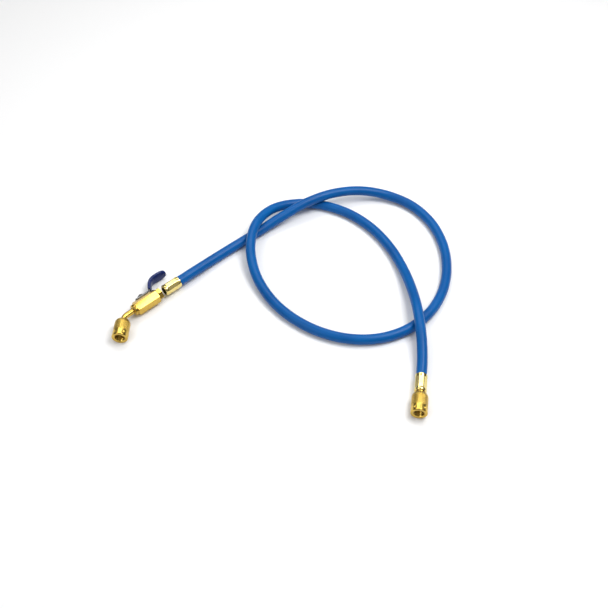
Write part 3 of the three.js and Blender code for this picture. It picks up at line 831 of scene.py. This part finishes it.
def valve_body():
    half = BODY_LENGTH / 2
    nose = half + NOSE_LENGTH
    bm = hexagon(BODY_FLATS, -half, half, BODY_CHAMFER, 0.2)
    front = spin([(0, 0), (NOSE_RADIUS, 0), (NOSE_RADIUS, half + 0.5), (NOSE_RADIUS - 0.4, half + 0.7),
                  (NOSE_RADIUS, half + 1.0), (NOSE_RADIUS - 0.05, nose - 1.5),
                  (NOSE_RADIUS - 0.35, nose - 0.8), (NOSE_RADIUS - 0.9, nose - 0.25),
                  (NOSE_RADIUS - 1.5, nose), (0, nose)], 96)
    bm = boolean(bm, front, "UNION")
    raised = spin([(0, 0), (BOSS_RADIUS, 0), (BOSS_RADIUS, BOSS - 0.25), (BOSS_RADIUS - 0.25, BOSS),
                   (0, BOSS)], 64)
    bm = boolean(bm, upright(raised), "UNION")
    past = 1
    for tool in (rod(BALL_ROOM_RADIUS, -half - past, SEATS_REACH, 64),
                 rod(TUBE_BORE, 0, nose + past),
                 rod(TUBE_RADIUS + GAP, nose - TUBE_SOCKET, nose + past),
                 upright(rod(STEM_HOLE_RADIUS, 0, BOSS + past))):
        bm = boolean(bm, tool)
    return attributed(bm)


def bar_stock():
    """The flats keep the drawn bar's faint lengthwise lines instead of a lathe's rings."""
    finish = Finish("drawn_hexagon_bar", Metallic=1.0)
    where = finish.place()
    patches = finish.noise(where, 120, 4)
    turn = finish.node("ShaderNodeMapping", {"vector_type": "TEXTURE"}, {
        "Vector": finish.node("ShaderNodeTexCoord", output="Object"),
        "Rotation": (0, 0, math.atan2(*(-VALVE.col[1].xyz).yx) - math.pi / 2),
    })
    stretched = finish.node("ShaderNodeMapping", {}, {"Vector": turn, "Scale": (1800, 30, 1800)})
    drawn = finish.noise(stretched, 1.0, 3)
    finish.feed("Base Color", finish.mix(finish.spread(patches, 0.35, 0.68), BRASS, BRASS_WARM))
    finish.feed("Roughness", finish.spread(patches * 0.6 + drawn * 0.4, 0.3, 0.75, 0.16, 0.34))
    return finish.bump(drawn, 0.00002, 0.4)


BAR_FINISH = bar_stock()
piece("hexagon_valve_body", valve_body(), HEAD, BAR_FINISH, "hose_line",
      ["valve_body"], sharp=20)

# %% [markdown]
# ## The elbow tube
# A plain brass tube, brazed into the nose and bent 45 degrees. The nut's end is spun first.
# Its open rings are then spun again about the bend's centre, as a tube bender does, and
# extruded straight back into the valve.

# %% Elbow tube


def elbow_tube():
    start = -STRAIGHT_BEFORE_NUT
    section = [(TUBE_RADIUS, start), *seat_section(0), (TUBE_BORE, start)]
    bm = spin(section, 48)
    end_faces = [f for f in bm.faces if all(abs(v.co.y / MM - start) < 1e-3 for v in f.verts)]
    bmesh.ops.delete(bm, geom=end_faces, context="FACES_ONLY")
    open_edges = [e for e in bm.edges if e.is_boundary]
    centre = Vector((-ELBOW_RADIUS, start, 0)) * MM
    bent = bmesh.ops.spin(
        bm, geom=open_edges, cent=centre, axis=(0, 0, 1), dvec=(0, 0, 0), angle=-ELBOW_ANGLE,
        steps=16, use_merge=False, use_duplicate=False,
    )["geom_last"]
    edges = [g for g in bent if isinstance(g, bmesh.types.BMEdge)]
    drawn = bmesh.ops.extrude_edge_only(bm, edges=edges)["geom"]
    verts = [g for g in drawn if isinstance(g, bmesh.types.BMVert)]
    tube_start = NOSE_LENGTH - TUBE_SOCKET + GAP
    straight_length = CORNER_FROM_BODY - tube_start - BEND_REACH
    back = Matrix.Rotation(-ELBOW_ANGLE, 3, "Z") @ Vector((0, -straight_length, 0)) * MM
    bmesh.ops.translate(bm, vec=back, verts=verts)
    bmesh.ops.bridge_loops(bm, edges=[e for e in bm.edges if e.is_boundary])
    bmesh.ops.recalc_face_normals(bm, faces=bm.faces)
    return attributed(bm)


piece("bent_elbow_tube", elbow_tube(), VALVE_NUT, BRASS_FINISH, "hose_line",
      ["elbow_tube"])

# %% [markdown]
# ## The lever
# The handle is a pressed steel strip, dipped in navy vinyl from its neck to its tip. The strip
# is a flat sheet first, cut to its plan, then bent along its side view and given its
# thickness. The dip is a soft teardrop: its section is a rounded oblong that swells over the
# paddle. It is drawn out ring by ring along the same side view.

# %% Lever
LEVER_BOTTOM = BOSS + GAP
LEVER_THICKNESS = 1.5
LEVER_MIDDLE = LEVER_BOTTOM + LEVER_THICKNESS / 2
LEVER_TAIL = 8
LEVER_REACH = 39.5
LEVER_RISE = 13.5
LEVER_DROOP = 1
LEVER_FOOT, LEVER_FOOT_BEND = 10.2, 2.5
LEVER_HEAD, LEVER_HEAD_BEND = 20, 6
LEVER_WIDEST = 31
LEVER_BASE_HALF = 4
LEVER_NECK_HALF = 3
LEVER_PADDLE_HALF = 4.8
LEVER_TIP_FULLNESS = 0.75
LEVER_SQUARE = 3.6
GRIP_START = 12
GRIP_COAT = 1.5
GRIP_SIDES = 40
GRIP_SQUARENESS = 0.72


def bezier(points, t):
    """A point on a Bezier curve of any order, by moving along the lines between its points."""
    points = [Vector(p) for p in points]
    while len(points) > 1:
        points = [a.lerp(b, t) for a, b in zip(points, points[1:])]
    return points[0]


def side_view():
    """Points along the lever's middle: distance from the stem, and height above its base."""
    foot = Vector((LEVER_FOOT, 0))
    head = Vector((LEVER_HEAD, LEVER_RISE))
    neck = (head - foot).normalized()
    flat = Vector((LEVER_HEAD + LEVER_HEAD_BEND, LEVER_RISE))
    end = Vector((LEVER_REACH + 2.5, LEVER_RISE - LEVER_DROOP))
    base_end = foot - Vector((LEVER_FOOT_BEND, 0))
    foot_end = foot + neck * LEVER_FOOT_BEND
    head_start = head - neck * LEVER_HEAD_BEND
    line = [Vector((-LEVER_TAIL, 0)).lerp(base_end, i / 24) for i in range(24)]
    line += [bezier((base_end, foot, foot_end), i / 10) for i in range(10)]
    line += [foot_end.lerp(head_start, i / 8) for i in range(8)]
    line += [bezier((head_start, head, flat), i / 14) for i in range(14)]
    middle = Vector(((flat.x + end.x) / 2, LEVER_RISE))
    return line + [bezier((flat, middle, end), i / 40) for i in range(41)]


def half_width(x, margin=0.0):
    """Half the lever's width at a distance from the stem, as its plan has it."""
    tip = LEVER_REACH + margin
    neck_start = LEVER_FOOT + LEVER_FOOT_BEND / 2
    swell = (neck_start + LEVER_WIDEST) / 2
    base = LEVER_BASE_HALF + margin
    neck = LEVER_NECK_HALF + margin
    paddle = LEVER_PADDLE_HALF + margin
    if x < LEVER_FOOT - LEVER_FOOT_BEND:
        corner = max(0.0, min(1.0, (2 - (x + LEVER_TAIL)) / 2))
        return base - 2 * (1 - math.sqrt(1 - corner * corner))
    if x < neck_start:
        ease = (x - LEVER_FOOT + LEVER_FOOT_BEND) / (neck_start - LEVER_FOOT + LEVER_FOOT_BEND)
        return base + (neck - base) * ease
    if x < LEVER_WIDEST:
        curve = [(neck_start, neck), (swell, neck), (swell, paddle), (LEVER_WIDEST, paddle)]
    else:
        curve = [(LEVER_WIDEST, paddle), ((LEVER_WIDEST + tip) / 2, paddle),
                 (tip, LEVER_TIP_FULLNESS * paddle), (tip, 0)]
    low, high = 0.0, 1.0
    for _ in range(24):
        half = (low + high) / 2
        low, high = (half, high) if bezier(curve, half).x < x else (low, half)
    return max(0.0, bezier(curve, low).y)


def lever_plate():
    line = [p for p in side_view() if p.x <= LEVER_REACH - 0.15]
    bm = bmesh.new()
    bmesh.ops.create_grid(bm, x_segments=10, y_segments=len(line) - 1, size=1)
    for v in bm.verts:
        at = line[round((v.co.y + 1) / 2 * (len(line) - 1))]
        across = v.co.x * half_width(at.x)
        v.co = Vector((across, -at.x, LEVER_MIDDLE + at.y)) * MM
    bmesh.ops.recalc_face_normals(bm, faces=bm.faces)
    bmesh.ops.solidify(bm, geom=bm.faces[:], thickness=LEVER_THICKNESS * MM)
    middle = sum((v.co.z for v in bm.verts if v.co.y > 0), 0.0)
    middle /= len([v for v in bm.verts if v.co.y > 0])
    bmesh.ops.translate(bm, vec=(0, 0, LEVER_MIDDLE * MM - middle), verts=bm.verts)
    hole = bmesh.new()
    bmesh.ops.create_cube(hole, size=MM, matrix=shift(0, 0, LEVER_MIDDLE)
                          @ Matrix.Diagonal((LEVER_SQUARE, LEVER_SQUARE, 4, 1)))
    return attributed(boolean(rounded(bm, 0.25, 3, 50), hole))


def lever_grip():
    line = [p for p in side_view() if p.x >= GRIP_START]
    while line[-1].x > LEVER_REACH + GRIP_COAT:
        line.pop()
    bm = bmesh.new()
    order_layer = bm.verts.layers.int.new("order")
    bmesh.ops.create_circle(bm, cap_ends=False, segments=GRIP_SIDES, radius=1)
    ring = list(bm.verts)
    edges = bm.edges[:]
    corners = [v.co.xy.copy() for v in ring]
    for i, v in enumerate(ring):
        v[order_layer] = i
    for step, at in enumerate(line):
        if step:
            new = bmesh.ops.extrude_edge_only(bm, edges=edges)["geom"]
            ring = [g for g in new if isinstance(g, bmesh.types.BMVert)]
            edges = [g for g in new if isinstance(g, bmesh.types.BMEdge)]
        ahead = line[min(step + 1, len(line) - 1)] - line[max(step - 1, 0)]
        normal = Vector((-ahead.y, ahead.x)).normalized()
        width = half_width(at.x, GRIP_COAT)
        full = LEVER_THICKNESS / 2 + GRIP_COAT
        start = min(1.0, 0.55 + 0.45 * math.sqrt(min(1.0, step / 4)))
        width *= 0.9 + 0.1 * start
        thick = full * start * min(1.0, (width / (full * 1.05)) if width < full * 1.05 else 1.0)
        for v in ring:
            c = corners[v[order_layer]]
            across = math.copysign(abs(c.x) ** GRIP_SQUARENESS, c.x) * width
            lift = math.copysign(abs(c.y) ** GRIP_SQUARENESS, c.y) * thick
            v.co = Vector((across, -(at.x + normal.x * lift), LEVER_MIDDLE + at.y + normal.y * lift)) * MM
    bmesh.ops.pointmerge(bm, verts=ring, merge_co=sum((v.co for v in ring), Vector()) / len(ring))
    bmesh.ops.holes_fill(bm, edges=[e for e in bm.edges if e.is_boundary], sides=0)
    bmesh.ops.recalc_face_normals(bm, faces=bm.faces)
    return bm


# %% [markdown]
# ## Steel and vinyl
# Zinc plating is a dull grey with small cloudy patches. Dipped vinyl sets with a soft gloss,
# and its surface stays slightly wavy where it ran.

# %% Lever finishes
ZINC = (0.34, 0.34, 0.33)
ZINC_DULL = (0.19, 0.185, 0.175)
NAVY = (0.003, 0.020, 0.150)
NAVY_DEEP = (0.002, 0.012, 0.090)

STEEL = Finish("zinc_plated_steel", Metallic=1.0)
steel_where = STEEL.place()
steel_patches = STEEL.noise(steel_where, 260, 5)
STEEL.feed("Base Color", STEEL.mix(steel_patches, ZINC, ZINC_DULL))
STEEL.feed("Roughness", STEEL.spread(steel_patches, 0.3, 0.75, 0.24, 0.46))
STEEL.bump(STEEL.noise(steel_where, 2600, 2), 0.00002, 0.4)

VINYL = Finish("navy_dipped_vinyl", Specular_IOR_Level=0.28, Coat_Weight=0.15, Coat_Roughness=0.12)
vinyl_where = VINYL.place()
vinyl_cloud = VINYL.noise(vinyl_where, 90, 3)
VINYL.feed("Base Color", VINYL.mix(vinyl_cloud, NAVY, NAVY_DEEP))
VINYL.feed("Roughness", VINYL.spread(VINYL.noise(vinyl_where, 420, 4), 0.3, 0.8, 0.24, 0.42))
VINYL.bump(VINYL.noise(vinyl_where, 240, 3), 0.00012, 0.35)

piece("pressed_lever_strip", lever_plate(), HEAD, STEEL, "lever_set",
      ["lever_plate"])
piece("dipped_lever_grip", lever_grip(), HEAD, VINYL, "lever_set", ["lever_grip"],
      sharp=60)

# %% [markdown]
# ## The lever's nut
# A small hexagon nut holds the lever down on the stem's square.

# %% Lever nut
LOCK_NUT_FLATS = 6.4
LOCK_NUT_HEIGHT = 2.2
LOCK_NUT_CHAMFER = 0.55
LOCK_NUT_HOLE = 1.7


def lever_nut():
    start = LEVER_BOTTOM + LEVER_THICKNESS + GAP
    bm = hexagon(LOCK_NUT_FLATS, start, start + LOCK_NUT_HEIGHT, LOCK_NUT_CHAMFER, 0.08)
    bm = boolean(bm, rod(LOCK_NUT_HOLE, start - 1, start + 4, 40))
    return attributed(upright(bm))


piece("lever_lock_nut", lever_nut(), HEAD, STEEL, "lever_set", ["lever_nut"],
      sharp=25)

# %% [markdown]
# ## Pieces kept from the model
# The ball, its two seats and the stem are drawn well enough as they are. Only the stem's tip
# shows. They get the same steel, and a white sealing plastic.

# %% Kept pieces
SEAT_WHITE = (0.80, 0.79, 0.75)
SEAT_SHADE = (0.70, 0.69, 0.65)

PLASTIC = Finish("white_seat_plastic", Roughness=0.45, Subsurface_Weight=0.1)
plastic_cloud = PLASTIC.noise(PLASTIC.place(), 300, 3)
PLASTIC.feed("Base Color", PLASTIC.mix(plastic_cloud, SEAT_WHITE, SEAT_SHADE))
PLASTIC.bump(plastic_cloud, 0.00002, 0.3)

for name, finish in (("valve_stem", STEEL), ("valve_ball", STEEL),
                     ("ball_seat_hose_side", PLASTIC), ("ball_seat_nut_side", PLASTIC)):
    mesh = bpy.data.objects[name].data
    mesh.materials.clear()
    mesh.materials.append(finish.material)
    print(name, "keeps its shape, in", finish.material.name)

# %% [markdown]
# ## Floor and light
# The photograph is a cut-out on white, lit softly from above. Polished brass shows whatever
# stands round it, so three broad lamps give it bright bands, and a dark band of sky a little
# above the horizon gives it dark edges. The first lamp stands where the valve's widest flat
# mirrors it into the camera.

# %% Floor and lamps
FLOOR_HALF = 3
LAMP_TARGET = Vector((0, 0.05, 0))


def lamp(name, place, size, power):
    data = bpy.data.lights.new(name, "AREA")
    data.shape = "RECTANGLE"
    data.size, data.size_y = size
    data.energy = power
    made = bpy.data.objects.new(name, data)
    made.location = place
    made.rotation_euler = (LAMP_TARGET - Vector(place)).to_track_quat("-Z", "Y").to_euler()
    bpy.context.scene.collection.objects.link(made)
    print("lamp", name, power, "W")


floor_sheet = bmesh.new()
bmesh.ops.create_grid(floor_sheet, x_segments=1, y_segments=1, size=FLOOR_HALF)
floor_mesh = bpy.data.meshes.new("floor")
floor_sheet.to_mesh(floor_mesh)
floor_sheet.free()
paper = Finish("white_paper", Base_Color=(0.92, 0.92, 0.92, 1), Roughness=0.9, Specular_IOR_Level=0.1)
floor_mesh.materials.append(paper.material)
floor = bpy.data.objects.new("floor", floor_mesh)
bpy.context.scene.collection.objects.link(floor)
lamp("key", (0.50, 0.12, 1.0), (0.6, 0.5), 8)
lamp("fill", (-0.7, -0.5, 0.9), (0.5, 0.4), 3)
lamp("top", (-0.1, 0.7, 1.0), (1.0, 0.4), 4)

# %% [markdown]
# ## Sky
# The sky's brightness depends only on its height: pale at the horizon, so that a low view has
# a pale wall behind the object, then the dark band, then an even soft grey overhead.

# %% Sky
SKY_WALL = (0.62, 0.62, 0.62, 1)
SKY_DARK = (0.08, 0.08, 0.085, 1)
SKY_OVERHEAD = (0.50, 0.50, 0.50, 1)
SKY = [(0.06, SKY_WALL), (0.15, SKY_DARK), (0.32, SKY_DARK), (0.65, SKY_OVERHEAD)]

world = bpy.data.worlds.new("studio")
world.use_nodes = True
sky = world.node_tree.nodes["Background"]
direction = world.node_tree.nodes.new("ShaderNodeTexCoord")
height = world.node_tree.nodes.new("ShaderNodeSeparateXYZ")
shade = world.node_tree.nodes.new("ShaderNodeValToRGB")
stops = shade.color_ramp.elements
while len(stops) < len(SKY):
    stops.new(0.5)
for stop, (position, colour) in zip(stops, SKY):
    stop.position = position
    stop.color = colour
world.node_tree.links.new(direction.outputs["Generated"], height.inputs[0])
world.node_tree.links.new(height.outputs["Z"], shade.inputs["Fac"])
world.node_tree.links.new(shade.outputs["Color"], sky.inputs["Color"])
bpy.context.scene.world = world
bpy.context.scene.view_settings.view_transform = "Standard"
print("sky stops:", [round(stop.position, 2) for stop in stops])
